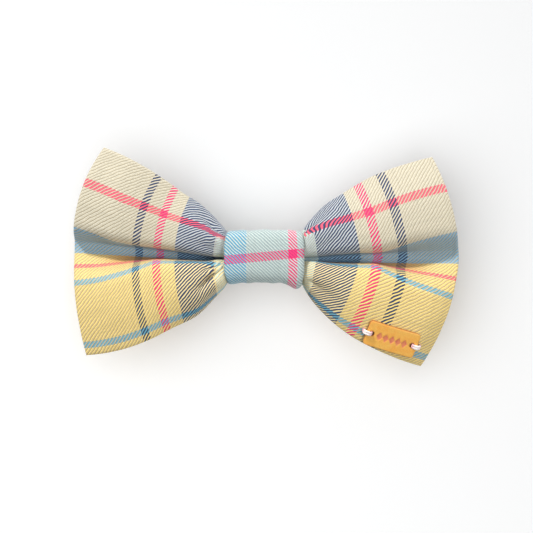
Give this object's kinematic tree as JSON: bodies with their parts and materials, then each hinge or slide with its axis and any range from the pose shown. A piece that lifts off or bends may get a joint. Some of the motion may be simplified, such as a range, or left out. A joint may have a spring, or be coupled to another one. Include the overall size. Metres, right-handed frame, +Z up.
{
  "type": "bow tie",
  "caption": "Pre-tied clip-on bow tie: folded cloth wings with one front valley, a cloth knot band, a small sewn leather tag and a sprung double clip behind the knot.",
  "frame": {"origin": "middle of the collar seat, on the rear face of the clip's base plate", "axes": "+X along the wings, towards the wing that carries the tag; +Z up as worn; the front faces -Y and the wearer is at +Y"},
  "size_m": [0.1206, 0.0191, 0.071],
  "materials": {
    "shirting": "matt 2/2 twill, cream and yellow tartan with navy, pink and light blue",
    "knot_cloth": "matt 2/2 twill, pale mint with light blue and pink",
    "interfacing": "matt bonded non-woven",
    "thread": "satin spun thread",
    "tag_thread": "soft waxed thread",
    "leather": "smooth vegetable-tanned leather",
    "nickel": "nickel plated, lightly worn",
    "spring_steel": "drawn wire"
  },
  "bodies": {
    "bow": {"back_panel": "shirting", "band_seam_thread": "thread", "clip_base_plate": "nickel", "clip_stitch_left_high": "thread", "clip_stitch_left_low": "thread", "clip_stitch_right_high": "thread", "clip_stitch_right_low": "thread", "edge_seam_thread": "thread", "front_panel": "shirting", "gathering_thread": "thread", "hinge_pin_left": "nickel", "hinge_pin_right": "nickel", "interfacing": "interfacing", "jaw_spring_left": "spring_steel", "jaw_spring_right": "spring_steel", "knot_band": "knot_cloth", "leather_tag": "leather", "tag_thread_left": "tag_thread", "tag_thread_right": "tag_thread"},
    "jaw_left": {"clip_jaw_left": "nickel"},
    "jaw_right": {"clip_jaw_right": "nickel"}
  },
  "joints": [
    {"name": "jaw_left_hinge", "type": "hinge", "parent": "bow", "child": "jaw_left", "pos_m": [-0.005, 0.0016, 0], "axis": [0, 0, -1], "range_deg": [0, 30], "stiffness_Nm_per_rad": 0.02, "springref_deg": -34.38, "deforming": ["jaw_spring_left"]},
    {"name": "jaw_right_hinge", "type": "hinge", "parent": "bow", "child": "jaw_right", "pos_m": [0.005, 0.0016, 0], "axis": [0, 0, 1], "range_deg": [0, 30], "stiffness_Nm_per_rad": 0.02, "springref_deg": -34.38, "deforming": ["jaw_spring_right"]}
  ]
}
